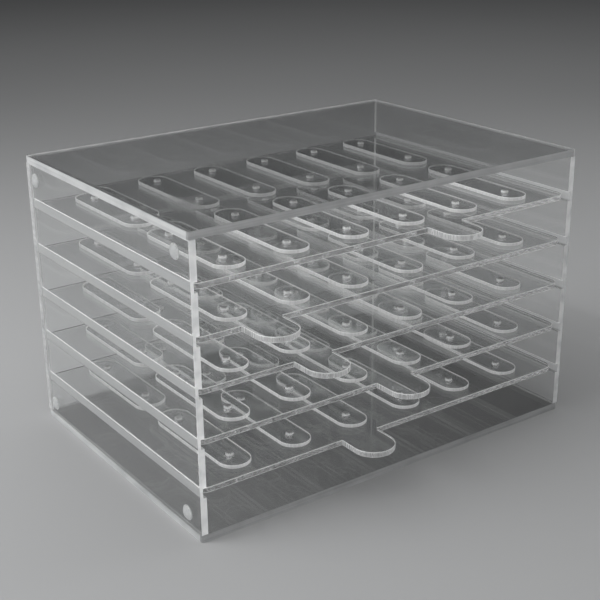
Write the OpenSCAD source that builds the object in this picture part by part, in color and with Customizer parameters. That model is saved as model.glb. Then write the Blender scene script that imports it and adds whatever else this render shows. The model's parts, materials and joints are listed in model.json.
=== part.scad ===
// Clear acrylic tile organiser: an open-fronted box whose grooved sides carry five slide-out
// trays, each with a finger tab and two rows of oval display tiles dropped over pegs.
// Millimetres, +Z up. The origin is the middle of the underside, and the open front faces -Y.

/* [Sheet] */
// Thickness of the sheet that the housing is cut from
panel_t = 4; // [3:0.5:6]
// Thickness of the tray sheet
tray_t = 3; // [2:0.5:5]
// Thickness of the tile sheet
tile_t = 2; // [1.5:0.5:4]

/* [Tiles] */
// Width of a tile, which is also the diameter of its round ends
tile_w = 18; // [14:0.5:24]
// Length of a tile, end to end
tile_len = 73; // [50:0.5:100]
// Distance from a tile's end to the middle of its peg hole
tile_hole_inset = 13; // [9:0.5:20]
// Gap between neighbouring tiles of a row
tile_side_gap = 19.5; // [6:0.5:40]
// Gap between the front row's tiles and the rear row's
tile_row_gap = 10.5; // [4:0.5:40]

/* [Pegs] */
// Diameter of a peg
peg_d = 4; // [3:0.25:6]
// Height of a peg above the tile that sits on it
peg_proud = 1.2; // [0.6:0.1:4]
// Chamfer round the top of a peg
peg_chamfer = 0.4; // [0.1:0.1:0.6]
// Gap between a peg and the wall of a tile's hole
peg_tile_gap = 0.3; // [0.2:0.05:0.6]
// Glue gap between a peg and the wall of its hole in the tray
peg_glue_gap = 0.05; // [0.02:0.01:0.1]

/* [Trays] */
// Margin from the tiles' ends to the tray's front and back edges
tray_end_margin = 6.5; // [3:0.5:20]
// Margin from the outer tiles to the tray's side edges
tray_side_margin = 20; // [8:0.5:40]
// Radius of the tray's corners
tray_corner_r = 6; // [1:0.5:10]
// Distance from the housing's front to the front edge of a tray that is pushed in
tray_recess = 3; // [0:0.5:10]
// Gap between the back panel and a tray that is pushed in
tray_back_gap = 0.5; // [0.2:0.1:3]

/* [Finger tabs] */
// Width of a finger tab, which is also the diameter of its round end
tab_w = 23.5; // [18:0.5:32]
// Length of a finger tab, from the tray's front edge to its tip
tab_len = 23; // [17:0.5:40]
// Place of the tab across tray 1, the lowest
tab_x_1 = -24.5; // [-70:0.5:70]
// Place of the tab across tray 2
tab_x_2 = -1.5; // [-70:0.5:70]
// Place of the tab across tray 3
tab_x_3 = -54.5; // [-70:0.5:70]
// Place of the tab across tray 4
tab_x_4 = -84.5; // [-90:0.5:70]
// Place of the tab across tray 5, the topmost
tab_x_5 = 31.5; // [-70:0.5:70]

/* [Grooves] */
// Depth of a groove into the side panel
groove_depth = 2; // [1:0.25:2.5]
// Headroom over a tray in its groove
groove_headroom = 2; // [0.5:0.25:5]
// Gap between a tray's side edge and the bottom of its groove
groove_side_gap = 0.25; // [0.15:0.05:0.6]

/* [Clear heights] */
// Clear height under the lowest tray
room_bottom = 20.75; // [10:0.25:60]
// Clear height between a tray and the underside of the one above it
room_tray = 23.5; // [12:0.5:60]
// Clear height between the topmost tray and the top panel
room_top = 22.25; // [12:0.25:60]

/* [Bumper pads] */
// Diameter of a bumper pad
bumper_d = 8; // [5:0.5:12]
// Height of a bumper pad
bumper_h = 2.2; // [1.4:0.1:3.5]
// Height of the straight rim under the pad's dome
bumper_rim_h = 0.6; // [0.3:0.1:1]
// Distance from the housing's edges to the middle of a bumper pad
bumper_inset = 12; // [8:0.5:25]

/* [Corners] */
// Radius of the top and bottom panels' corners
panel_corner_r = 1.5; // [0.5:0.5:4]

/* [Hidden] */
$fn = 64;
tray_count = 5;
column_count = 6;
row_names = ["front", "rear"];
row_count = len(row_names);
tab_x = [tab_x_1, tab_x_2, tab_x_3, tab_x_4, tab_x_5];

tile_pitch_x = tile_w + tile_side_gap;
tile_pitch_y = tile_len + tile_row_gap;
peg_len = tray_t + tile_t + peg_proud;
tray_w = column_count * tile_w + (column_count - 1) * tile_side_gap + 2 * tray_side_margin;
tray_d = row_count * tile_len + (row_count - 1) * tile_row_gap + 2 * tray_end_margin;
tray_pitch = tray_t + room_tray;
groove_h = tray_t + groove_headroom;
inner_w = tray_w + 2 * (groove_side_gap - groove_depth);
inner_d = tray_recess + tray_d + tray_back_gap;
inner_h = room_bottom + (tray_count - 1) * tray_pitch + tray_t + room_top;
box_w = inner_w + 2 * panel_t;
box_d = inner_d + panel_t;
box_h = inner_h + 2 * panel_t;
front_y = -box_d / 2;
tray_front_y = front_y + tray_recess;
bumper_crown_h = bumper_h - bumper_rim_h;
bumper_crown_r = (bumper_crown_h ^ 2 + (bumper_d / 2) ^ 2) / (2 * bumper_crown_h);
// Overshoot that lets a cutter run clear of the face it cuts
cut = 1;

acrylic = [0.86, 0.92, 0.95, 0.35];
acrylic_tray = [0.80, 0.88, 0.93, 0.45];
acrylic_tile = [0.88, 0.94, 0.97, 0.55];
acrylic_peg = [0.95, 0.97, 0.98, 0.80];
soft_clear = [0.90, 0.92, 0.92, 0.70];

tray_numbers = [1 : tray_count];
column_numbers = [1 : column_count];
row_numbers = [0 : row_count - 1];
// The topmost tray's tiles are single nodes; the lower trays' tiles are grouped by row
top_tray = tray_count;
lower_trays = [1 : tray_count - 1];

function tray_name(k) = str("tray_", k);
function pegs_name(k) = str("tray_", k, "_pegs");
function row_tiles_name(k, row) = str("tray_", k, "_", row_names[row], "_tiles");
function tile_name(row, column) = str("tray_", top_tray, "_", row_names[row], "_tile_", column);

// Underside of tray k, which rests on the floor of its grooves
function tray_z(k) = panel_t + room_bottom + (k - 1) * tray_pitch;
// Middle of a tile, seen from above
function tile_x(column) = (column - (column_count + 1) / 2) * tile_pitch_x;
function tile_y(row) = tray_front_y + tray_end_margin + tile_len / 2 + row * tile_pitch_y;
// Distance from a tile's middle to each of its pegs
peg_offset = tile_len / 2 - tile_hole_inset;

// Rectangle with round corners, centred on the origin
module round_rectangle(w, d, r) {
    square([w - 2 * r, d], center = true);
    square([w, d - 2 * r], center = true);
    for (x = [-1, 1])
        for (y = [-1, 1])
            translate([x * (w / 2 - r), y * (d / 2 - r)])
                circle(r);
}

// Oval with round ends, its length along Y, centred on the origin
module oval(w, length) {
    square([w, length - w], center = true);
    for (y = [-1, 1])
        translate([0, y * (length - w) / 2])
            circle(w / 2);
}

// Puts its children at both peg places of one tile
module at_tile_pegs(row, column) {
    for (y = [-1, 1])
        translate([tile_x(column), tile_y(row) + y * peg_offset, 0])
            children();
}

// Puts its children at every peg place of a tray
module at_tray_pegs() {
    for (row = row_numbers)
        for (column = column_numbers)
            at_tile_pegs(row, column)
                children();
}

module cover_sheet() {
    linear_extrude(panel_t)
        round_rectangle(box_w, box_d, panel_corner_r);
}

module top_panel() {
    color(acrylic)
        translate([0, 0, box_h - panel_t])
            cover_sheet();
}

module bottom_panel() {
    color(acrylic)
        cover_sheet();
}

module back_panel() {
    color(acrylic)
        translate([-box_w / 2, box_d / 2 - panel_t, panel_t])
            cube([box_w, panel_t, inner_h]);
}

// Grooved side sheet, its inner face at x = 0 and its outer face at x = panel_t
module side_sheet() {
    difference() {
        translate([0, front_y, panel_t])
            cube([panel_t, inner_d, inner_h]);
        for (k = tray_numbers)
            translate([-cut, front_y - cut, tray_z(k)])
                cube([cut + groove_depth, inner_d + 2 * cut, groove_h]);
    }
}

module right_side_panel() {
    color(acrylic)
        translate([inner_w / 2, 0, 0])
            side_sheet();
}

module left_side_panel() {
    color(acrylic)
        mirror([1, 0, 0])
            translate([inner_w / 2, 0, 0])
                side_sheet();
}

// Domed pad that stands on z = 0
module bumper() {
    cylinder(h = bumper_rim_h, d = bumper_d);
    translate([0, 0, bumper_rim_h])
        intersection() {
            translate([0, 0, bumper_crown_h - bumper_crown_r])
                sphere(bumper_crown_r);
            cylinder(h = bumper_crown_h, d = bumper_d);
        }
}

module side_bumpers() {
    color(soft_clear)
        for (y = [front_y + bumper_inset, -front_y - bumper_inset])
            for (z = [bumper_inset, box_h - bumper_inset])
                translate([-box_w / 2, y, z])
                    rotate([0, -90, 0])
                        bumper();
}

// Outline of a tray with its finger tab, seen from above
module tray_outline(k) {
    translate([0, tray_front_y + tray_d / 2])
        round_rectangle(tray_w, tray_d, tray_corner_r);
    translate([tab_x[k - 1], tray_front_y])
        oval(tab_w, 2 * tab_len);
}

module tray(k) {
    color(acrylic_tray)
        translate([0, 0, tray_z(k)])
            difference() {
                linear_extrude(tray_t)
                    tray_outline(k);
                at_tray_pegs()
                    translate([0, 0, -cut])
                        cylinder(h = tray_t + 2 * cut, d = peg_d + 2 * peg_glue_gap);
            }
}

module peg() {
    rotate_extrude()
        polygon([
            [0, 0],
            [peg_d / 2, 0],
            [peg_d / 2, peg_len - peg_chamfer],
            [peg_d / 2 - peg_chamfer, peg_len],
            [0, peg_len]
        ]);
}

module tray_pegs(k) {
    color(acrylic_peg)
        translate([0, 0, tray_z(k)])
            at_tray_pegs()
                peg();
}

module tile(k, row, column) {
    color(acrylic_tile)
        translate([0, 0, tray_z(k) + tray_t])
            difference() {
                translate([tile_x(column), tile_y(row), 0])
                    linear_extrude(tile_t)
                        oval(tile_w, tile_len);
                at_tile_pegs(row, column)
                    translate([0, 0, -cut])
                        cylinder(h = tile_t + 2 * cut, d = peg_d + 2 * peg_tile_gap);
            }
}

module tile_row(k, row) {
    for (column = column_numbers)
        tile(k, row, column);
}

top_panel();
bottom_panel();
back_panel();
left_side_panel();
right_side_panel();
side_bumpers();
for (k = tray_numbers) {
    tray(k);
    tray_pegs(k);
}
for (row = row_numbers) {
    for (k = lower_trays)
        tile_row(k, row);
    for (column = column_numbers)
        tile(top_tray, row, column);
}
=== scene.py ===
"""Dresses a clear acrylic tile organiser and sets it in a plain studio.

Every sheet, rod and pad is rebuilt as a closed mesh at the place that its solid holds, with the surface
that each tool leaves on it: polished faces, sawn rims, milled grooves and laser-cut outlines. Some edges,
arrises and rings get a paler or darker copy of a finish instead, as painted light or painted shade.
Metres, +Z up, with the open front towards -Y.
"""

import json
import logging
import math
from abc import ABC, abstractmethod
from dataclasses import dataclass
from enum import Enum, IntEnum, auto
from typing import Any, Optional, Sequence, Union

import bpy
import numpy as np
from mathutils import Matrix, Vector
from mathutils.geometry import delaunay_2d_cdt


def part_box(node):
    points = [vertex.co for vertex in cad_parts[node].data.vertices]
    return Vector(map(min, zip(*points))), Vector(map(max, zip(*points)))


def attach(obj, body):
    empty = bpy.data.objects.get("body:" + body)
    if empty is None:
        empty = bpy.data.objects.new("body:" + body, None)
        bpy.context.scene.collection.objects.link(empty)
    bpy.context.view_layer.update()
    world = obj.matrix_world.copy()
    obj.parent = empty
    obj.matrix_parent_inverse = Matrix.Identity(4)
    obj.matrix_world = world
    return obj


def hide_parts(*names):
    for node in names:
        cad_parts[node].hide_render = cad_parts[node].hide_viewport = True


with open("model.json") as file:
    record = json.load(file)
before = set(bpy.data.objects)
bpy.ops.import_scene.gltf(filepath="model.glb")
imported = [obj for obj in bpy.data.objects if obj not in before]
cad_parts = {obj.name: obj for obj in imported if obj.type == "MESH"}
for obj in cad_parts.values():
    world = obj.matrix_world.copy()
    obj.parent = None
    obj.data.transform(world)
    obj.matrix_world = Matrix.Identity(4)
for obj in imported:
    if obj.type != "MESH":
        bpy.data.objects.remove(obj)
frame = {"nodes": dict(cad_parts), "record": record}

MM = 0.001
LOG = logging.getLogger("organiser")

Span = tuple[float, float]
Triple = tuple[float, float, float]
Colour = Triple
Layers = tuple["Pattern", ...]
Value = Union["Wire", float]


class Surface(IntEnum):
    """What the workshop leaves on a face of clear plastic, or a paler or darker finish that paints light or
    shade on it.
    """

    POLISHED = auto()
    SAWN = auto()
    RAW_SAWN = auto()
    CEMENTED = auto()
    MILLED = auto()
    LIP = auto()
    GLOSS_CUT = auto()
    HAZY_CUT = auto()
    SATIN_CUT = auto()
    ARRIS = auto()
    DRILLED = auto()
    ROD = auto()
    MOULDED = auto()


class Side(Enum):
    """The two grooved panels, by the sign of the side of the housing that they close."""

    LEFT = -1
    RIGHT = 1


@dataclass(frozen=True)
class Block:
    """The box that the solid of one node fills."""

    low: np.ndarray
    high: np.ndarray

    @classmethod
    def of(cls, node: str) -> "Block":
        """Reads a node's box from the frame."""
        low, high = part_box(node)
        return cls(np.array(low, float), np.array(high, float))

    @property
    def size(self) -> np.ndarray:
        """Length along each axis."""
        return self.high - self.low


@dataclass(frozen=True)
class Shell:
    """A closed surface, held as whole arrays until it becomes a mesh.

    A face is a row of four point numbers, and a triangle has -1 in its last place.
    """

    points: np.ndarray
    faces: np.ndarray
    kinds: np.ndarray
    smooth: np.ndarray

    @classmethod
    def join(cls, shells: Sequence["Shell"]) -> "Shell":
        """Puts several shells into one.

        Args:
            shells: the shells, whose points stay in this order.

        Returns:
            One shell with every point and face.
        """
        starts = np.cumsum([0] + [len(shell.points) for shell in shells[:-1]])
        faces = [np.where(shell.faces < 0, -1, shell.faces + start) for shell, start in zip(shells, starts)]
        return cls(
            np.concatenate([shell.points for shell in shells]),
            np.concatenate(faces),
            np.concatenate([shell.kinds for shell in shells]),
            np.concatenate([shell.smooth for shell in shells]),
        )

    def at(self, places: np.ndarray) -> "Shell":
        """Copies the shell to several places.

        Args:
            places: one row (x, y, z) per copy.

        Returns:
            One shell with all the copies, each moved by its row.
        """
        copies = len(places)
        shifts = (np.arange(copies) * len(self.points))[:, None, None]
        return Shell(
            (np.asarray(places)[:, None] + self.points).reshape(-1, 3),
            np.where(self.faces < 0, -1, self.faces + shifts).reshape(-1, 4),
            np.tile(self.kinds, copies),
            np.tile(self.smooth, copies),
        )

    def turned(self, rows: Sequence[Sequence[float]]) -> "Shell":
        """Turns the shell by a rotation given as the rows of its matrix."""
        return Shell(self.points @ np.array(rows, float).T, self.faces, self.kinds, self.smooth)

    def mesh(self, name: str) -> bpy.types.Mesh:
        """Writes the arrays into a mesh.

        Args:
            name: name of the mesh.

        Returns:
            The mesh, whose material numbers count the kinds of surface in use, in rising order.
        """
        used = self.faces >= 0
        corners = used.sum(axis=1)
        finishes = np.searchsorted(np.unique(self.kinds), self.kinds)
        mesh = bpy.data.meshes.new(name)
        mesh.vertices.add(len(self.points))
        mesh.vertices.foreach_set("co", self.points.astype(np.float32).ravel())
        mesh.loops.add(int(corners.sum()))
        mesh.loops.foreach_set("vertex_index", self.faces[used].astype(np.int32))
        mesh.polygons.add(len(corners))
        mesh.polygons.foreach_set("loop_start", (np.cumsum(corners) - corners).astype(np.int32))
        mesh.polygons.foreach_set("material_index", finishes.astype(np.int32))
        mesh.polygons.foreach_set("use_smooth", self.smooth)
        mesh.update(calc_edges=True)
        mesh.validate()
        return mesh


def band_faces(rings: int, around: int) -> np.ndarray:
    """Numbers the faces between closed rings of points.

    Args:
        rings: number of rings.
        around: points in each ring, which is stored one after another.

    Returns:
        Face rows, ring by ring: (j, i), (j, i + 1), (j + 1, i + 1), (j + 1, i), with i + 1 wrapped.
    """
    ring, place = np.meshgrid(np.arange(rings - 1), np.arange(around), indexing="ij")
    here = ring * around + place
    beside = ring * around + (place + 1) % around
    return np.stack([here, beside, beside + around, here + around], axis=-1).reshape(-1, 4)


def as_triangles(corners: np.ndarray) -> np.ndarray:
    """Fills rows of three point numbers up to face rows."""
    return np.concatenate([corners, np.full((len(corners), 1), -1)], axis=1)


def unit(vectors: np.ndarray) -> np.ndarray:
    """Scales every row to a length of 1."""
    return vectors / np.linalg.norm(vectors, axis=1, keepdims=True)


def rectangle(low: Sequence[float], high: Sequence[float]) -> list[Span]:
    """Lists the corners of a rectangle, counter-clockwise from the lowest one."""
    (x0, y0), (x1, y1) = low, high
    return [(x0, y0), (x1, y0), (x1, y1), (x0, y1)]


@dataclass(frozen=True)
class Rim:
    """The rounded arris that runs round both faces of a cut sheet.

    lead is a short straight step after each arris, which keeps the shading of the wall between them flat.
    kind is the arris's own surface, if it isn't that of the wall.
    """

    radius: float
    segments: int
    kind: Optional[Surface] = None
    lead: float = 0.05 * MM

    def profile(self, thickness: float) -> tuple[np.ndarray, np.ndarray]:
        """Works out the section through the sheet's edge.

        A quarter circle, inset r(1 - sin a) at height r(1 - cos a), leads from the lower face to the wall,
        and its mirror image leads from the wall to the upper face.

        Args:
            thickness: thickness of the sheet.

        Returns:
            How far each ring lies inside the outline, and how high above the lower face.
        """
        turn = np.linspace(0, math.pi / 2, self.segments + 1)
        insets = np.append(self.radius * (1 - np.sin(turn)), 0)
        heights = np.append(self.radius * (1 - np.cos(turn)), self.radius + self.lead)
        return np.concatenate([insets, insets[::-1]]), np.concatenate([heights, thickness - heights[::-1]])


@dataclass(frozen=True)
class Outline:
    """A closed path in the plane of a sheet, counter-clockwise round plastic and clockwise round a hole.

    kinds and smooth belong to the stretch that starts at each point.
    """

    points: np.ndarray
    kinds: np.ndarray
    smooth: np.ndarray

    # A stretch with a smaller radius than this is shaded flat: it is too narrow for its shading to show.
    least_smooth_radius = 1 * MM
    # Points nearer than this are one point.
    same_place = 1e-7

    @classmethod
    def rounded(
        cls,
        corners: Sequence[Sequence[float]],
        radii: Union[float, Sequence[float]],
        kinds: Union[Surface, Sequence[Surface]],
        segments: int = 3,
    ) -> "Outline":
        """Rounds the corners of a polygon.

        With unit vectors a and b from a corner to its neighbours, at the angle t between them, the arc's
        centre lies r / sin(t / 2) along a + b. The arc turns by pi - t, from the point r / tan(t / 2)
        along a to the one along b, and its points are spherical blends of those two radii.

        Args:
            corners: polygon in order.
            radii: radius at each corner, or one for all.
            kinds: surface of the wall from each corner to the next, or one for all.
            segments: segments in each arc.

        Returns:
            The outline, without the points that fall together where two arcs meet.
        """
        corner = np.array(corners, float)
        count = len(corner)
        radius = np.broadcast_to(np.asarray(radii, float), count)[:, None]
        back = unit(np.roll(corner, 1, axis=0) - corner)
        ahead = unit(np.roll(corner, -1, axis=0) - corner)
        angle = np.arccos(np.clip((back * ahead).sum(axis=1, keepdims=True), -1, 1))
        reach = radius / np.tan(angle / 2)
        centre = corner + unit(back + ahead) * radius / np.sin(angle / 2)
        start = corner + back * reach - centre
        end = corner + ahead * reach - centre
        turn = (math.pi - angle)[:, None]
        step = np.linspace(0, 1, segments + 1)[None, :, None]
        blend = np.sin((1 - step) * turn) * start[:, None] + np.sin(step * turn) * end[:, None]
        points = (centre[:, None] + blend / np.sin(turn)).reshape(-1, 2)
        in_arc = np.tile(np.arange(segments + 1) < segments, count)
        owner = np.repeat(np.arange(count), segments + 1)
        smooth = in_arc & (radius[owner, 0] > cls.least_smooth_radius)
        kept = np.linalg.norm(np.roll(points, -1, axis=0) - points, axis=1) > cls.same_place
        wall_kinds = np.broadcast_to(np.asarray(kinds, int), count)[owner]
        return cls(points[kept], wall_kinds[kept], smooth[kept])

    @classmethod
    def bore(cls, centre: Sequence[float], radius: float, segments: int) -> "Outline":
        """Makes the clockwise circle of a drilled hole: centre + r (cos a, sin a) with a falling.

        Args:
            centre: middle of the hole.
            radius: radius of the hole.
            segments: points round it.

        Returns:
            The hole's outline.
        """
        turn = np.linspace(0, -2 * math.pi, segments, endpoint=False)
        points = np.asarray(centre, float) + radius * np.stack([np.cos(turn), np.sin(turn)], axis=1)
        return cls(points, np.full(segments, Surface.DRILLED), np.full(segments, True))

    def mirrored(self) -> "Outline":
        """Mirrors the outline in the plane x = 0 and keeps its sense of turning."""
        flipped = (self.points * (-1, 1))[::-1]
        return Outline(flipped, np.roll(self.kinds[::-1], -1), np.roll(self.smooth[::-1], -1))

    def inset(self, depths: np.ndarray) -> np.ndarray:
        """Moves the outline into the plastic.

        Each point moves along its mitre, (n + m) / (1 + n . m) for the outward normals n and m of the
        stretches that meet there, so every stretch moves by the full depth.

        Args:
            depths: one depth per wanted copy.

        Returns:
            The moved points, by depth and by point.
        """
        along = unit(np.roll(self.points, -1, axis=0) - self.points)
        normal = np.stack([along[:, 1], -along[:, 0]], axis=1)
        before = np.roll(normal, 1, axis=0)
        mitre = (before + normal) / (1 + (before * normal).sum(axis=1, keepdims=True))
        return self.points - np.asarray(depths)[:, None, None] * mitre


def edge_wall(outline: Outline, rim: Rim, thickness: float) -> Shell:
    """Carries a rim's section round an outline.

    Args:
        outline: path of the edge.
        rim: section of the edge.
        thickness: thickness of the sheet.

    Returns:
        An open band whose first ring lies in the lower face and whose last lies in the upper face.
    """
    insets, heights = rim.profile(thickness)
    plan = outline.inset(insets)
    rings, around = plan.shape[:2]
    height = np.broadcast_to(heights[:, None, None], (rings, around, 1))
    points = np.concatenate([plan, height], axis=2).reshape(-1, 3)
    bands = rings - 1
    kinds = np.tile(outline.kinds, (bands, 1))
    if rim.kind is not None:
        kinds[: rim.segments] = kinds[-rim.segments :] = rim.kind
    return Shell(points, band_faces(rings, around), kinds.ravel(), np.tile(outline.smooth, bands))


def face_triangles(loops: Sequence[np.ndarray]) -> np.ndarray:
    """Triangulates a flat face that may have holes.

    Args:
        loops: the outer loop and then the holes' loops, as plan points.

    Returns:
        Rows of three numbers of the loops' points, taken one loop after another, facing up.
    """
    plan = [Vector(point) for point in (np.concatenate(loops) / MM).tolist()]
    ends = np.cumsum([len(loop) for loop in loops])
    rings = [list(range(end - len(loop), end)) for loop, end in zip(loops, ends)]
    rings[1:] = [ring[::-1] for ring in rings[1:]]
    inside_loops, same_place = 1, 1e-6
    _, _, triangles, sources, _, owners = delaunay_2d_cdt(plan, [], rings, inside_loops, same_place)
    outer_only = [triangle for triangle, owner in zip(triangles, owners) if list(owner) == [0]]
    source = np.array([numbers[0] for numbers in sources])
    return source[np.array(outer_only)]


def cut_sheet(
    outline: Outline,
    rim: Rim,
    thickness: float,
    faces: tuple[Surface, Surface] = (Surface.POLISHED, Surface.POLISHED),
    bores: Sequence[Outline] = (),
    bore_rim: Rim = Rim(radius=0.1 * MM, segments=2),
) -> Shell:
    """Cuts a sheet to an outline and drills it.

    Args:
        outline: outer path.
        rim: arris of the outer edge.
        thickness: thickness of the sheet.
        faces: surface of the lower and of the upper flat face.
        bores: paths of the holes.
        bore_rim: arris of every bore.

    Returns:
        The closed sheet, its lower face at z = 0.
    """
    walls = [edge_wall(outline, rim, thickness)] + [edge_wall(bore, bore_rim, thickness) for bore in bores]
    widths = [len(loop.points) for loop in (outline, *bores)]
    sizes = [len(wall.points) for wall in walls]
    ends = np.cumsum(sizes)
    lower = np.concatenate([end - size + np.arange(width) for end, size, width in zip(ends, sizes, widths)])
    upper = np.concatenate([end - width + np.arange(width) for end, width in zip(ends, widths)])
    triangles = face_triangles([wall.points[:width, :2] for wall, width in zip(walls, widths)])
    caps = np.concatenate([as_triangles(lower[triangles[:, ::-1]]), as_triangles(upper[triangles])])
    body = Shell.join(walls)
    return Shell(
        body.points,
        np.concatenate([body.faces, caps]),
        np.concatenate([body.kinds, np.repeat(faces, len(triangles))]),
        np.concatenate([body.smooth, np.full(len(caps), False)]),
    )


def turned_piece(profile: Sequence[Sequence[float]], segments: int, kinds: Sequence[Surface]) -> Shell:
    """Turns a profile about Z: point (j, i) is (r_j cos a_i, r_j sin a_i, h_j).

    Args:
        profile: rows of radius and height from the lower end to the upper one, off the axis.
        segments: points round the axis.
        kinds: surface of the lower end, of each band from row to row, and of the upper end.

    Returns:
        The closed piece, with a flat fan at each end.
    """
    radius, height = np.array(profile, float).T
    rings = len(radius)
    turn = np.linspace(0, 2 * math.pi, segments, endpoint=False)
    circle = np.stack([np.cos(turn), np.sin(turn), np.zeros(segments)], axis=1)
    rise = np.array([0, 0, 1.0])
    points = (radius[:, None, None] * circle + height[:, None, None] * rise).reshape(-1, 3)
    ends = rise * height[[0, -1]][:, None]
    here = np.arange(segments)
    beside = (here + 1) % segments
    last = (rings - 1) * segments
    low_pole = np.full(segments, len(points))
    high_pole = low_pole + 1
    low_fan = np.stack([low_pole, beside, here], axis=1)
    high_fan = np.stack([high_pole, last + here, last + beside], axis=1)
    fans = as_triangles(np.concatenate([low_fan, high_fan]))
    faces = np.concatenate([band_faces(rings, segments), fans])
    smooth = np.arange(len(faces)) < len(faces) - len(fans)
    low_kind, *band_kinds, high_kind = kinds
    face_kinds = np.repeat([*band_kinds, low_kind, high_kind], segments)
    return Shell(np.concatenate([points, ends]), faces, face_kinds, smooth)


class Wire:
    """An output socket of a shader graph, on which arithmetic adds Math nodes."""

    def __init__(self, graph: "Graph", socket: bpy.types.NodeSocket) -> None:
        """Keeps the graph and the socket."""
        self.graph = graph
        self.socket = socket

    def _math(self, operation: str, first: Value, second: Value) -> "Wire":
        """Adds one Math node."""
        return self.graph.add("ShaderNodeMath", {0: first, 1: second}, operation=operation)

    def __add__(self, other: Value) -> "Wire":
        """Adds a value."""
        return self._math("ADD", self, other)

    __radd__ = __add__

    def __sub__(self, other: Value) -> "Wire":
        """Takes a value away."""
        return self._math("SUBTRACT", self, other)

    def __rsub__(self, other: Value) -> "Wire":
        """Takes this from a value."""
        return self._math("SUBTRACT", other, self)

    def __mul__(self, other: Value) -> "Wire":
        """Multiplies by a value."""
        return self._math("MULTIPLY", self, other)

    __rmul__ = __mul__

    def __abs__(self) -> "Wire":
        """Drops the sign."""
        return self._math("ABSOLUTE", self, 0.0)

    def step(self, low: float, high: float) -> "Wire":
        """Goes smoothly from 0 at low to 1 at high, whichever of them is the greater."""
        ends = {"Value": self, "From Min": low, "From Max": high}
        return self.graph.add("ShaderNodeMapRange", ends, interpolation_type="SMOOTHSTEP")


class Graph:
    """The nodes of a material or world, built by expressions."""

    # Numbers of a Mix node's colour sockets, whose names it also gives to other sockets.
    low_colour, high_colour, blend = 6, 7, 2

    def __init__(self, owner: Union[bpy.types.Material, bpy.types.World]) -> None:
        """Switches the owner's nodes on and empties them.

        Args:
            owner: the material or world.
        """
        owner.use_nodes = True
        self.tree = owner.node_tree
        self.tree.nodes.clear()

    def add(
        self,
        kind: str,
        inputs: Optional[dict[Union[str, int], Any]] = None,
        output: Union[str, int] = 0,
        **settings: Any,
    ) -> Wire:
        """Adds any node.

        Args:
            kind: Blender's name of the node's type.
            inputs: a number, colour or wire for each named or numbered socket.
            output: socket to hand on.
            settings: properties, set before the sockets.

        Returns:
            The wire from that socket.
        """
        node = self.tree.nodes.new(kind)
        for name, value in settings.items():
            setattr(node, name, value)
        for name, value in (inputs or {}).items():
            if isinstance(value, Wire):
                self.tree.links.new(value.socket, node.inputs[name])
            else:
                node.inputs[name].default_value = value
        return Wire(self, node.outputs[output] if node.outputs else None)

    def place(self, stretch: Triple = (1, 1, 1), turn: Triple = (0, 0, 0)) -> Wire:
        """Gives the piece's own coordinates in metres, turned and then stretched.

        Args:
            stretch: factor along each axis.
            turn: angle about each axis.

        Returns:
            The coordinates.
        """
        own = self.add("ShaderNodeTexCoord", output="Object")
        sizes = {"Vector": own, "Rotation": turn, "Scale": [1 / factor for factor in stretch]}
        return self.add("ShaderNodeMapping", sizes, vector_type="TEXTURE")

    def tint(self, factor: Wire, low: Colour, high: Colour) -> Wire:
        """Blends two colours, low at 0 and high at 1."""
        ends = {"Factor": factor, self.low_colour: (*low, 1), self.high_colour: (*high, 1)}
        return self.add("ShaderNodeMix", ends, self.blend, data_type="RGBA")

    def either(self, share: Value, first: Wire, second: Wire) -> Wire:
        """Mixes two shaders, of which the second has the given share."""
        return self.add("ShaderNodeMixShader", {0: share, 1: first, 2: second})


@dataclass(frozen=True)
class Pattern(ABC):
    """A pattern in a piece's own coordinates, with its share among the patterns of a finish."""

    share: float

    @abstractmethod
    def draw(self, graph: Graph) -> Wire:
        """Adds the pattern's nodes.

        Args:
            graph: the material's nodes.

        Returns:
            The pattern's value, from 0 to 1.
        """


@dataclass(frozen=True)
class Clouds(Pattern):
    """Cloudy noise about 0.5, or its rise from 0 to 1 across a band of levels.

    scale counts the clouds to the metre, and stretch multiplies that along each axis. detail is the number
    of octaves of finer clouds.
    """

    scale: float = 1.0
    detail: float = 2.0
    stretch: Triple = (1, 1, 1)
    turn: Triple = (0, 0, 0)
    band: Optional[Span] = None

    def draw(self, graph: Graph) -> Wire:
        """Draws the noise at the turned and stretched place."""
        place = graph.place(self.stretch, self.turn)
        sizes = {"Vector": place, "Scale": self.scale, "Detail": self.detail}
        noise = graph.add("ShaderNodeTexNoise", sizes)
        return noise.step(*self.band) if self.band else noise


@dataclass(frozen=True)
class Dust(Pattern):
    """A soft dot in some of the cells of a cell pattern, with scale cells to the metre.

    A dot begins and is full at the two distances of rim from the middle of its cell. A cell has one if its
    own random grey is past the odds.
    """

    scale: float = 210.0
    rim: Span = (0.09, 0.05)
    odds: Span = (0.72, 0.74)

    def draw(self, graph: Graph) -> Wire:
        """Draws 1 in a dot and 0 beside it."""
        cells = {"Vector": graph.place(), "Scale": self.scale}
        distance = graph.add("ShaderNodeTexVoronoi", cells, "Distance")
        chance = graph.add("ShaderNodeTexVoronoi", cells, "Color")
        return distance.step(*self.rim) * chance.step(*self.odds)


@dataclass(frozen=True)
class Hairlines(Clouds):
    """Scratches where drawn-out noise, turned askew, crosses its middle level."""

    detail: float = 0.0
    stretch: Triple = (240, 9, 240)
    turn: Triple = (0, 0, 0.6)
    middle: float = 0.5
    width: float = 0.01

    def draw(self, graph: Graph) -> Wire:
        """Draws 0 in a scratch and 1 beside it."""
        return abs(super().draw(graph) - self.middle).step(0.0, self.width)


@dataclass(frozen=True)
class Ridges(Pattern):
    """Even ridges that follow each other along Y, pi / (10 scale) apart."""

    scale: float = 523.0

    def draw(self, graph: Graph) -> Wire:
        """Draws a wave along Y."""
        wave = {"Vector": graph.place(), "Scale": self.scale}
        return graph.add("ShaderNodeTexWave", wave, "Fac", bands_direction="Y")


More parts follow.
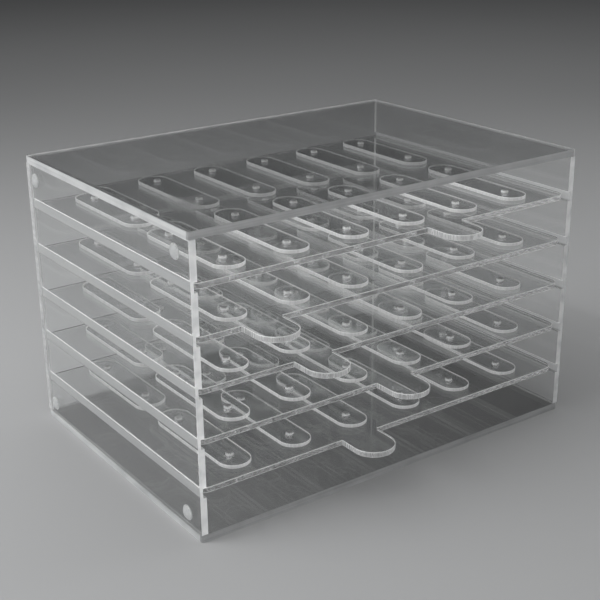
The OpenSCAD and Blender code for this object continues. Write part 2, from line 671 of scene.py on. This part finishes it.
def drawn_together(layers: Layers, graph: Graph) -> Wire:
    """Adds up several patterns, each times its share."""
    first, *others = [layer.draw(graph) * layer.share for layer in layers]
    return sum(others, first)


@dataclass(frozen=True)
class ClearFinish:
    """Clear plastic with the surface that one tool leaves on it.

    wear says how worn each place is, from 0 to 1: with it the colour goes from pale to dull, and the
    roughness from its first value to its second. relief gives the tool marks' height in relief_depth.
    lamp_share of the lamps' light goes straight through, and glow is the share that the face scatters.
    """

    name: str
    pale: Colour
    dull: Colour
    wear: Layers
    roughness: Span
    relief: Layers
    relief_depth: float
    transmission: float
    lamp_share: float
    glow: float = 0.0
    ior: float = 1.49

    def material(self) -> bpy.types.Material:
        """Builds the material.

        Returns:
            A clear shader whose colour, roughness and normal follow the wear and the tool marks.
        """
        made = bpy.data.materials.new(self.name)
        graph = Graph(made)
        wear, height = drawn_together(self.wear, graph), drawn_together(self.relief, graph)
        clean, worn = self.roughness
        marks = {"Strength": 1.0, "Distance": self.relief_depth, "Height": height}
        bump = graph.add("ShaderNodeBump", marks)
        sockets = {
            "Base Color": graph.tint(wear, self.pale, self.dull),
            "Roughness": clean + wear * (worn - clean),
            "IOR": self.ior,
            "Transmission Weight": self.transmission,
            "Normal": bump,
        }
        shader = graph.add("ShaderNodeBsdfPrincipled", sockets)
        if self.glow:
            frost = graph.add("ShaderNodeBsdfTranslucent", {"Color": (*self.pale, 1), "Normal": bump})
            shader = graph.either(self.glow, shader, frost)
        from_lamp = graph.add("ShaderNodeLightPath", output="Is Shadow Ray")
        window = graph.add("ShaderNodeBsdfTransparent", {"Color": (*(3 * [self.lamp_share]), 1)})
        graph.add("ShaderNodeOutputMaterial", {"Surface": graph.either(from_lamp, shader, window)})
        return made


@dataclass(frozen=True)
class PolishedFinish(ClearFinish):
    """The sheet's own gloss, with smudges and dust, a slow wave from casting and hairline scratches."""

    name: str = "polished_face"
    pale: Colour = (0.992, 0.997, 0.996)
    dull: Colour = (0.96, 0.965, 0.965)
    wear: Layers = (Clouds(0.25, 28, 4, band=(0.56, 0.74)), Dust(0.65))
    roughness: Span = (0.012, 0.312)
    relief: Layers = (Clouds(0.97, 9, 0), Hairlines(0.03))
    relief_depth: float = 0.004 * MM
    transmission: float = 1.0
    lamp_share: float = 0.86


@dataclass(frozen=True)
class SawnFinish(ClearFinish):
    """A matt sawn edge, greyed in patches and by streaks that the saw drew along it, with coarse grain."""

    name: str = "sawn_edge"
    pale: Colour = (0.70, 0.71, 0.71)
    dull: Colour = (0.40, 0.41, 0.42)
    wear: Layers = (
        Clouds(0.45, 90, 5, band=(0.35, 0.7)),
        Clouds(0.55, stretch=(12, 12, 800), band=(0.35, 0.65)),
    )
    roughness: Span = (0.62, 0.42)
    relief: Layers = (Clouds(0.5, 2600, 2), Clouds(0.5, 700, 1))
    relief_depth: float = 0.03 * MM
    transmission: float = 0.4
    lamp_share: float = 0.5
    glow: float = 0.3


@dataclass(frozen=True)
class PaintedShadeSawnFinish(SawnFinish):
    """A darker copy of the sawn edge: painted shade on the covers' front edges and on the pegs' tops."""

    name: str = "raw_sawn_edge"
    pale: Colour = (0.42, 0.425, 0.43)
    dull: Colour = (0.24, 0.245, 0.25)
    glow: float = 0.25


@dataclass(frozen=True)
class PaintedLightSawnFinish(SawnFinish):
    """A sawn end painted near white in patches a few millimetres long, as painted light for the glow of
    light carried along the sheet.
    """

    name: str = "cemented_end"
    pale: Colour = (0.97, 0.975, 0.975)
    dull: Colour = (0.62, 0.64, 0.65)
    wear: Layers = (Clouds(1.0, 140, 3, band=(0.36, 0.7)),)
    transmission: float = 0.3
    glow: float = 0.4


@dataclass(frozen=True)
class MilledFinish(ClearFinish):
    """A frosted groove, streaked along its length, with the cutter's feed marks every 0.6 mm and grain."""

    name: str = "milled_groove"
    pale: Colour = (0.66, 0.67, 0.67)
    dull: Colour = (0.58, 0.59, 0.60)
    wear: Layers = (Clouds(1.0, stretch=(140, 12, 140), band=(0.35, 0.7)),)
    roughness: Span = (0.5, 0.32)
    relief: Layers = (Ridges(0.6), Clouds(0.4, 1900, 2))
    relief_depth: float = 0.02 * MM
    transmission: float = 0.55
    lamp_share: float = 0.6
    glow: float = 0.25


@dataclass(frozen=True)
class GlossCutFinish(ClearFinish):
    """A glossy laser-cut edge with fine upright ripples, cloudy in patches where the melt froze dull."""

    name: str = "gloss_cut_edge"
    pale: Colour = (0.99, 0.995, 0.995)
    dull: Colour = (0.93, 0.94, 0.94)
    wear: Layers = (Clouds(1.0, 150, 4, band=(0.45, 0.75)),)
    roughness: Span = (0.1, 0.26)
    relief: Layers = (Clouds(1.0, stretch=(1700, 1700, 70)),)
    relief_depth: float = 0.006 * MM
    transmission: float = 0.94
    lamp_share: float = 0.9
    glow: float = 0.05


@dataclass(frozen=True)
class SatinCutFinish(GlossCutFinish):
    """A satin laser-cut edge with upright streaks, which scatters the light that the sheet gathers."""

    name: str = "satin_cut_edge"
    pale: Colour = (0.97, 0.975, 0.975)
    dull: Colour = (0.72, 0.73, 0.735)
    wear: Layers = (Clouds(1.0, detail=3, stretch=(900, 900, 60), band=(0.38, 0.68)),)
    roughness: Span = (0.24, 0.42)
    relief_depth: float = 0.03 * MM
    transmission: float = 0.28
    lamp_share: float = 0.8
    glow: float = 0.46


@dataclass(frozen=True)
class HazyCutFinish(SatinCutFinish):
    """A cut edge between gloss and satin, with streaks where the beam slowed down on a curve."""

    name: str = "hazy_cut_edge"
    dull: Colour = (0.45, 0.46, 0.465)
    transmission: float = 0.66
    glow: float = 0.22


@dataclass(frozen=True)
class PaintedHighlightArrisFinish(SatinCutFinish):
    """The corner between a face and a cut edge, painted near white as a highlight line."""

    name: str = "scraped_arris"
    pale: Colour = (0.985, 0.99, 0.99)
    dull: Colour = (0.93, 0.94, 0.94)
    transmission: float = 0.1
    glow: float = 0.35


@dataclass(frozen=True)
class OpaquePaintedLightFinish(PaintedHighlightArrisFinish):
    """The roof of a groove and the rear end of a side panel, painted opaque white as painted light."""

    name: str = "groove_lip"
    transmission: float = 0.0
    glow: float = 0.2


@dataclass(frozen=True)
class RodFinish(ClearFinish):
    """A turned clear rod with faint rings and small rubbed spots."""

    name: str = "peg_rod"
    pale: Colour = (0.98, 0.985, 0.985)
    dull: Colour = (0.86, 0.87, 0.88)
    wear: Layers = (Clouds(1.0, 800, 3, band=(0.5, 0.75)),)
    roughness: Span = (0.05, 0.25)
    relief: Layers = (Clouds(1.0, detail=1, stretch=(120, 120, 2400)),)
    relief_depth: float = 0.006 * MM
    transmission: float = 1.0
    lamp_share: float = 0.9


@dataclass(frozen=True)
class DrilledFinish(RodFinish):
    """The wall of a small hole, duller than an edge because the melt stays in it."""

    name: str = "cut_hole"
    dull: Colour = (0.86, 0.88, 0.88)
    roughness: Span = (0.12, 0.37)


@dataclass(frozen=True)
class PadFinish(ClearFinish):
    """A soft clear bumper pad, slightly cloudy, with soft orange-peel and dust that clings in patches."""

    name: str = "soft_pad"
    pale: Colour = (0.56, 0.57, 0.57)
    dull: Colour = (0.43, 0.44, 0.45)
    wear: Layers = (Clouds(1.0, 500, 2, band=(0.4, 0.8)),)
    roughness: Span = (0.3, 0.5)
    relief: Layers = (Clouds(1.0, 1200, 1),)
    relief_depth: float = 0.004 * MM
    transmission: float = 0.62
    lamp_share: float = 0.8
    glow: float = 0.1
    ior: float = 1.45


@dataclass(frozen=True)
class FloorFinish:
    """A plain pale sheet of studio paper, with a faint cloudiness."""

    name: str = "studio_paper"
    pale: Colour = (0.42, 0.424, 0.428)
    shade: Colour = (0.40, 0.404, 0.408)
    clouds: Clouds = Clouds(1.0, 3, 3)
    roughness: float = 0.9
    shine: float = 0.2

    def material(self) -> bpy.types.Material:
        """Builds the material.

        Returns:
            A matt shader whose colour follows the clouds.
        """
        made = bpy.data.materials.new(self.name)
        graph = Graph(made)
        sockets = {
            "Base Color": graph.tint(self.clouds.draw(graph), self.shade, self.pale),
            "Roughness": self.roughness,
            "Specular IOR Level": self.shine,
        }
        shader = graph.add("ShaderNodeBsdfPrincipled", sockets)
        graph.add("ShaderNodeOutputMaterial", {"Surface": shader})
        return made


def put_in_scene(name: str, data: bpy.types.ID) -> bpy.types.Object:
    """Adds a mesh, light or camera to the scene.

    Args:
        name: name of the new object.
        data: what the object holds.

    Returns:
        The object, at the origin.
    """
    made = bpy.data.objects.new(name, data)
    bpy.context.scene.collection.objects.link(made)
    return made


def aimed(place: Triple, target: Triple) -> Matrix:
    """Places a light or camera at one point so that it faces another."""
    aim = (Vector(target) - Vector(place)).to_track_quat("-Z", "Y")
    return Matrix.Translation(place) @ aim.to_matrix().to_4x4()


class Workshop:
    """Turns shells into dressed pieces that ride on the right body."""

    finishes: dict[Surface, ClearFinish] = {
        Surface.POLISHED: PolishedFinish(),
        Surface.SAWN: SawnFinish(),
        Surface.RAW_SAWN: PaintedShadeSawnFinish(),
        Surface.CEMENTED: PaintedLightSawnFinish(),
        Surface.MILLED: MilledFinish(),
        Surface.LIP: OpaquePaintedLightFinish(),
        Surface.GLOSS_CUT: GlossCutFinish(),
        Surface.HAZY_CUT: HazyCutFinish(),
        Surface.SATIN_CUT: SatinCutFinish(),
        Surface.ARRIS: PaintedHighlightArrisFinish(),
        Surface.DRILLED: DrilledFinish(),
        Surface.ROD: RodFinish(),
        Surface.MOULDED: PadFinish(),
    }

    def __init__(self, record: dict[str, Any]) -> None:
        """Reads each node's body and slot from the record and makes the materials.

        Args:
            record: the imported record.
        """
        bodies = record["behaviour"]["bodies"]
        self.bodies = {node: body for body, nodes in bodies.items() for node in nodes}
        self.slots = {part["node"]: part["material_slot"] for part in record["subparts"]}
        self.materials = {kind: finish.material() for kind, finish in self.finishes.items()}

    def piece(self, node: str, shell: Shell) -> None:
        """Makes the piece that stands for one node.

        Args:
            node: name of the node.
            shell: the piece's surface, in its place.
        """
        name = f"{node}_clear"
        mesh = shell.mesh(name)
        for kind in np.unique(shell.kinds):
            mesh.materials.append(self.materials[Surface(kind)])
        piece = put_in_scene(name, mesh)
        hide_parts(node)
        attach(piece, self.bodies[node])
        LOG.info("%s: %d faces, rides on %s", name, len(mesh.polygons), self.bodies[node])


@dataclass(frozen=True)
class Housing:
    """The glued box: top, bottom and back panels, two grooved sides, and four pads on the left side."""

    workshop: Workshop
    trays: Sequence[str]
    cover_corner: float = 1.5 * MM
    cover_segments: int = 6
    sheet_corner: float = 0.3 * MM
    rim: Rim = Rim(radius=0.15 * MM, segments=2)
    groove_depth: float = 2 * MM
    groove_headroom: float = 2 * MM
    seat_gap: float = 0.03 * MM
    joint_gap: float = 0.02 * MM
    pad_diameter: float = 8 * MM
    pad_foot: float = 0.1 * MM
    pad_rim: float = 0.6 * MM
    pad_rings: int = 8
    pad_segments: int = 32

    def build(self) -> None:
        """Makes every piece of the box."""
        for node in ("top_panel", "bottom_panel"):
            self.workshop.piece(node, self.cover(Block.of(node)))
        self.workshop.piece("back_panel", self.back(Block.of("back_panel")))
        for side in Side:
            node = f"{side.name.lower()}_side_panel"
            self.workshop.piece(node, self.side(Block.of(node), side))
        self.workshop.piece("side_bumpers", self.pads(Block.of("side_bumpers")))

    def cover(self, block: Block) -> Shell:
        """Makes a panel that lies flat, with its sawn edges in view.

        Args:
            block: box of the panel.

        Returns:
            The panel's shell.
        """
        corners = rectangle(block.low[:2], block.high[:2])
        # The front edge gets the darker sawn finish, painted shade, and the rear edge the near-white sawn
        # finish, painted light.
        kinds = [Surface.RAW_SAWN, Surface.SAWN, Surface.CEMENTED, Surface.SAWN]
        outline = Outline.rounded(corners, self.cover_corner, kinds, self.cover_segments)
        return cut_sheet(outline, self.rim, block.size[2]).at([(0, 0, block.low[2])])

    def stand(self, outline: Outline, block: Block, ends: tuple[Surface, Surface]) -> Shell:
        """Extrudes an outline drawn in x and z from the back of a box to its front.

        Args:
            outline: the section, counter-clockwise as seen from the front.
            block: box of the panel.
            ends: surface of the rear and of the front end.

        Returns:
            The upright shell.
        """
        sheet = cut_sheet(outline, self.rim, block.size[1], ends)
        return sheet.turned([(1, 0, 0), (0, 0, -1), (0, 1, 0)]).at([(0, block.high[1], 0)])

    def back(self, block: Block) -> Shell:
        """Makes the back panel, a hair shorter than the room between the covers.

        Args:
            block: box of the panel.

        Returns:
            The panel's shell.
        """
        (x0, _, z0), (x1, _, z1) = block.low, block.high
        corners = rectangle((x0, z0 + self.joint_gap), (x1, z1 - self.joint_gap))
        outline = Outline.rounded(corners, self.sheet_corner, Surface.SAWN)
        return self.stand(outline, block, (Surface.POLISHED, Surface.POLISHED))

    def side(self, block: Block, side: Side) -> Shell:
        """Makes a side panel as a comb-shaped section carried from the back to the front.

        Args:
            block: box of the panel.
            side: which side of the housing it closes.

        Returns:
            The panel's shell.
        """
        inner, outer = np.sort(np.abs([block.low[0], block.high[0]]))
        root = inner + self.groove_depth
        corners = rectangle((inner, block.low[2] + self.joint_gap), (outer, block.high[2] - self.joint_gap))
        kinds = [Surface.SAWN, Surface.POLISHED, Surface.SAWN, Surface.POLISHED]
        for tray in reversed(self.trays):
            seat = Block.of(tray)
            floor, roof = seat.low[2] - self.seat_gap, seat.high[2] + self.groove_headroom
            corners += [(inner, roof), (root, roof), (root, floor), (inner, floor)]
            # Each groove's roof gets the opaque white finish, a painted highlight line along the groove.
            kinds += [Surface.LIP, Surface.MILLED, Surface.MILLED, Surface.POLISHED]
        outline = Outline.rounded(corners, self.sheet_corner, kinds)
        if side is Side.LEFT:
            outline = outline.mirrored()
        clear = Block(block.low, block.high - (0, self.joint_gap, 0))
        # The rear end gets the opaque white groove-roof finish and the front end the near-white sawn
        # finish, both painted light.
        return self.stand(outline, clear, (Surface.LIP, Surface.CEMENTED))

    def pads(self, block: Block) -> Shell:
        """Makes the four pads, each a short rim under a spherical crown.

        With crown height c over a rim of radius r, the sphere's radius is (c c + r r) / 2c, and the crown
        is its arc from the rim to just beside the axis. The crown's outermost ring gets the paler hazy
        finish, a painted highlight round the rim, and the rest of the pad is as it left the mould.

        Args:
            block: box of all the pads.

        Returns:
            The shell of the four pads, pointing along -X.
        """
        radius, height = self.pad_diameter / 2, block.size[0] - self.joint_gap
        crown = height - self.pad_rim
        sphere = (crown**2 + radius**2) / (2 * crown)
        spread = np.linspace(math.asin(radius / sphere), 0, self.pad_rings + 1)[:-1]
        dome = np.stack([sphere * np.sin(spread), height - sphere + sphere * np.cos(spread)], axis=1)
        rim = [(radius - self.pad_foot, 0), (radius, self.pad_foot)]
        rim_kinds = (len(rim) + 1) * [Surface.MOULDED]
        # The outermost crown ring is paler: a painted highlight round each pad's rim.
        crown_kinds = [Surface.HAZY_CUT] + (len(dome) - 1) * [Surface.MOULDED]
        pad = turned_piece(np.concatenate([rim, dome]), self.pad_segments, rim_kinds + crown_kinds)
        x = block.high[0] - self.joint_gap
        places = [(x, y, z) for y in self._ends(block, 1) for z in self._ends(block, 2)]
        return pad.turned([(0, 0, -1), (0, 1, 0), (1, 0, 0)]).at(np.array(places))

    def _ends(self, block: Block, axis: int) -> Span:
        """Gives the pads' middles along one axis."""
        radius = self.pad_diameter / 2
        return block.low[axis] + radius, block.high[axis] - radius


@dataclass(frozen=True)
class TileTray:
    """One slide-out tray with its pegs, and the tiles that drop over them."""

    workshop: Workshop
    number: int
    single_tiles: bool
    columns: int = 6
    corner: float = 6 * MM
    tab_width: float = 23.5 * MM
    tab_length: float = 23 * MM
    inner_corner: float = 0.3 * MM
    # The tray's and the tiles' arrises get the near-white finish, a painted highlight line along each edge.
    rim: Rim = Rim(radius=0.3 * MM, segments=3, kind=Surface.ARRIS)
    peg_diameter: float = 4 * MM
    peg_spacing: float = 47 * MM
    peg_chamfer: float = 0.4 * MM
    peg_proud: float = 1.2 * MM
    peg_foot: float = 0.1 * MM
    peg_segments: int = 20
    tray_bore: float = 4.1 * MM
    tile_bore: float = 4.6 * MM
    tile_width: float = 18 * MM
    seat_gap: float = 0.03 * MM
    arc_segments: int = 14

    @property
    def node(self) -> str:
        """Name of the tray's node."""
        return f"tray_{self.number}"

    def build(self) -> None:
        """Makes the tray, its pegs and its tiles."""
        self.workshop.piece(self.node, self.sheet(Block.of(self.node)))
        self.workshop.piece(f"{self.node}_pegs", self.pegs(Block.of(f"{self.node}_pegs")))
        for node, count in self.tile_nodes():
            self.workshop.piece(node, self.tiles(Block.of(node), count))

    def tile_nodes(self) -> list[tuple[str, int]]:
        """Names the nodes that hold tiles.

        Returns:
            Each node's name, with the number of tiles in it.
        """
        rows = ("front", "rear")
        if self.single_tiles:
            return [(f"{self.node}_{row}_tile_{c}", 1) for row in rows for c in range(1, self.columns + 1)]
        return [(f"{self.node}_{row}_tiles", self.columns) for row in rows]

    def peg_places(self) -> np.ndarray:
        """Works out the pegs' middles in plan from the box that they fill.

        Returns:
            Rows of x and y: six columns across, and two pegs for each tile along.
        """
        block, radius = Block.of(f"{self.node}_pegs"), self.peg_diameter / 2
        across = np.linspace(block.low[0] + radius, block.high[0] - radius, self.columns)
        first, last = block.low[1] + radius, block.high[1] - radius
        along = np.array([first, first + self.peg_spacing, last - self.peg_spacing, last])
        return np.stack(np.meshgrid(across, along), axis=-1).reshape(-1, 2)

    def tab_middle(self) -> float:
        """Finds the tab's place across the tray.

        Returns:
            The middle of the solid's points at the tip of the tab.
        """
        mesh = frame["nodes"][self.node].data
        flat = np.empty(3 * len(mesh.vertices), np.float32)
        mesh.vertices.foreach_get("co", flat)
        x, y, _ = flat.reshape(-1, 3).T
        tab = x[y < y.min() + self.tab_width / 2]
        return float(tab.min() + tab.max()) / 2

    def sheet(self, block: Block) -> Shell:
        """Cuts the tray with its finger tab and drills it for the pegs.

        Args:
            block: box of the tray, tab included.

        Returns:
            The tray's shell.
        """
        (x0, tip, z0), (x1, rear, _) = block.low, block.high
        front, half, middle = tip + self.tab_length, self.tab_width / 2, self.tab_middle()
        left, right = middle - half, middle + half
        corners = [(x0, front), (left, front), (left, tip), (right, tip)]
        corners += [(right, front), (x1, front), (x1, rear), (x0, rear)]
        radii = [self.corner, self.inner_corner, half, half, self.inner_corner] + 3 * [self.corner]
        kinds = [Surface.GLOSS_CUT] + 3 * [Surface.HAZY_CUT] + 4 * [Surface.GLOSS_CUT]
        outline = Outline.rounded(corners, radii, kinds, self.arc_segments)
        bores = [Outline.bore(place, self.tray_bore / 2, self.peg_segments) for place in self.peg_places()]
        return cut_sheet(outline, self.rim, block.size[2], bores=bores).at([(0, 0, z0)])

    def pegs(self, block: Block) -> Shell:
        """Turns one peg, broken at the foot and chamfered at the top, and copies it to every hole.

        Args:
            block: box of all the pegs.

        Returns:
            The shell of the pegs.
        """
        radius, height = self.peg_diameter / 2, block.size[2]
        shoulder = height - self.peg_chamfer
        profile = [
            (radius - self.peg_foot, 0),
            (radius, self.peg_foot),
            (radius, self.peg_foot + self.rim.lead),
            (radius, height - self.peg_proud),
            (radius, shoulder - self.rim.lead),
            (radius, shoulder),
            (radius - self.peg_chamfer, height),
        ]
        # The proud part of the rod is frosted and its chamfer paler, painted light for the bright body and
        # ring; the top gets the darker sawn finish, painted shade.
        kinds = [Surface.POLISHED] + 3 * [Surface.ROD] + 2 * [Surface.SATIN_CUT]
        kinds += [Surface.HAZY_CUT, Surface.RAW_SAWN]
        plan = self.peg_places()
        places = np.column_stack([plan, np.full(len(plan), block.low[2])])
        return turned_piece(profile, self.peg_segments, kinds).at(places)

    def tiles(self, block: Block, count: int) -> Shell:
        """Cuts one oval tile with two holes and copies it along its row.

        Args:
            block: box of all the node's tiles.
            count: number of tiles in it.

        Returns:
            The shell of the tiles.
        """
        half, reach, along = self.tile_width / 2, block.size[1] / 2, self.peg_spacing / 2
        corners = rectangle((-half, -reach), (half, reach))
        outline = Outline.rounded(corners, half, Surface.SATIN_CUT, self.arc_segments)
        bores = [Outline.bore((0, y), self.tile_bore / 2, self.peg_segments) for y in (-along, along)]
        tile = cut_sheet(outline, self.rim, block.size[2] - self.seat_gap, bores=bores)
        places = np.empty((count, 3))
        places[:, 0] = np.linspace(block.low[0] + half, block.high[0] - half, count)
        places[:, 1] = (block.low[1] + block.high[1]) / 2
        places[:, 2] = block.low[2] + self.seat_gap
        return tile.at(places)


@dataclass(frozen=True)
class Viewpoint:
    """The camera, at the angle from which the object is seen."""

    place: Triple = (-0.37234, -0.52203, 0.31810)
    target: Triple = (0.001355, 0.0041625, 0.070265)
    roll: float = -0.010989
    lens_mm: float = 70.7
    sensor_mm: float = 36.0

    def build(self) -> None:
        """Makes the scene's camera."""
        data = bpy.data.cameras.new("viewpoint")
        data.lens, data.sensor_width = self.lens_mm, self.sensor_mm
        camera = put_in_scene("viewpoint", data)
        camera.matrix_world = aimed(self.place, self.target) @ Matrix.Rotation(self.roll, 4, "Z")
        bpy.context.scene.camera = camera


@dataclass(frozen=True)
class Softbox:
    """A rectangular studio light that faces the object.

    grid is the full angle of its beam. A light that isn't mirrored stands behind a polariser: no face shows
    its reflection.
    """

    name: str
    place: Triple
    width: float
    height: float
    radiance: float
    mirrored: bool = True
    grid: float = math.pi
    target: Triple = (0.0, 0.0, 0.08)

    def build(self) -> None:
        """Makes the light, whose power is pi times its area times its radiance.

        A grid narrows the beam to an angle of 2a, and the power by 1 - a / tan a with it.
        """
        data = bpy.data.lights.new(self.name, "AREA")
        data.shape, data.size, data.size_y = "RECTANGLE", self.width, self.height
        data.spread = self.grid
        beam = 1 - self.grid / 2 / math.tan(self.grid / 2)
        data.energy = math.pi * self.width * self.height * self.radiance * beam
        light = put_in_scene(self.name, data)
        light.visible_glossy = light.visible_transmission = self.mirrored
        light.matrix_world = aimed(self.place, self.target)


@dataclass(frozen=True)
class FillLight(Softbox):
    """A softbox behind a polariser and a honeycomb grid."""

    mirrored: bool = False
    grid: float = math.radians(80)


@dataclass(frozen=True)
class Studio:
    """The pale floor, the soft lights and the dim room round them."""

    softboxes: tuple[Softbox, ...] = (
        Softbox("overhead_softbox", (0.1, 0.4, 1.5), width=2.2, height=2.2, radiance=0.55),
        Softbox("strip_light", (-0.75, 0.1, 1.2), width=0.5, height=0.05, radiance=52.0),
        FillLight("left_softbox", (-1.05, 0.50, 0.34), width=0.9, height=0.5, radiance=17.0),
        FillLight("front_fill", (-0.80, -1.2, 0.34), width=1.2, height=0.5, radiance=10.0),
        FillLight("right_fill", (1.2, -0.2, 0.34), width=0.7, height=0.5, radiance=5.0),
    )
    room: Colour = (0.06, 0.061, 0.062)
    far_wall: Colour = (0.025, 0.0255, 0.026)
    floor_reach: float = 9.0
    floor_drop: float = 0.05 * MM
    bounces: int = 64
    reflections: int = 24
    soft_bounces: int = 4

    def build(self) -> None:
        """Sets up the floor, the lights, the room and the light paths that clear plastic needs."""
        self.floor()
        for softbox in self.softboxes:
            softbox.build()
        scene = bpy.context.scene
        scene.world = self.dim_room()
        scene.view_settings.view_transform = "Standard"
        scene.cycles.max_bounces = scene.cycles.transmission_bounces = self.bounces
        scene.cycles.glossy_bounces = self.reflections
        scene.cycles.diffuse_bounces = self.soft_bounces
        scene.cycles.transparent_max_bounces = self.bounces
        scene.cycles.caustics_reflective = scene.cycles.caustics_refractive = False

    def dim_room(self) -> bpy.types.World:
        """Makes a dim room, whose far wall is seen as dark as the far end of the floor.

        Returns:
            The world.
        """
        world = bpy.data.worlds.new("dim_room")
        graph = Graph(world)
        looks = [f"Is {kind} Ray" for kind in ("Camera", "Glossy", "Transmission")]
        camera, glossy, through = [graph.add("ShaderNodeLightPath", output=look) for look in looks]
        colour = graph.tint(camera + glossy + through, self.room, self.far_wall)
        glow = graph.add("ShaderNodeBackground", {"Color": colour, "Strength": 1.0})
        graph.add("ShaderNodeOutputWorld", {"Surface": glow})
        return world

    def floor(self) -> None:
        """Lays a flat sheet just under the object."""
        reach = self.floor_reach
        plan = rectangle((-reach, -reach), (reach, reach))
        mesh = bpy.data.meshes.new("studio_floor")
        mesh.from_pydata([(x, y, -self.floor_drop) for x, y in plan], [], [(0, 1, 2, 3)])
        mesh.materials.append(FloorFinish().material())
        put_in_scene("studio_floor", mesh)


def main() -> None:
    """Builds the camera, the housing, the five trays and the studio."""
    logging.basicConfig(level=logging.INFO, format="%(name)s: %(message)s")
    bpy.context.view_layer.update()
    Viewpoint().build()
    workshop = Workshop(frame["record"])
    tray_count = 5
    numbers = range(1, tray_count + 1)
    Housing(workshop, [f"tray_{number}" for number in numbers]).build()
    for number in numbers:
        TileTray(workshop, number, single_tiles=number == tray_count).build()
    Studio().build()


if __name__ == "__main__":
    main()
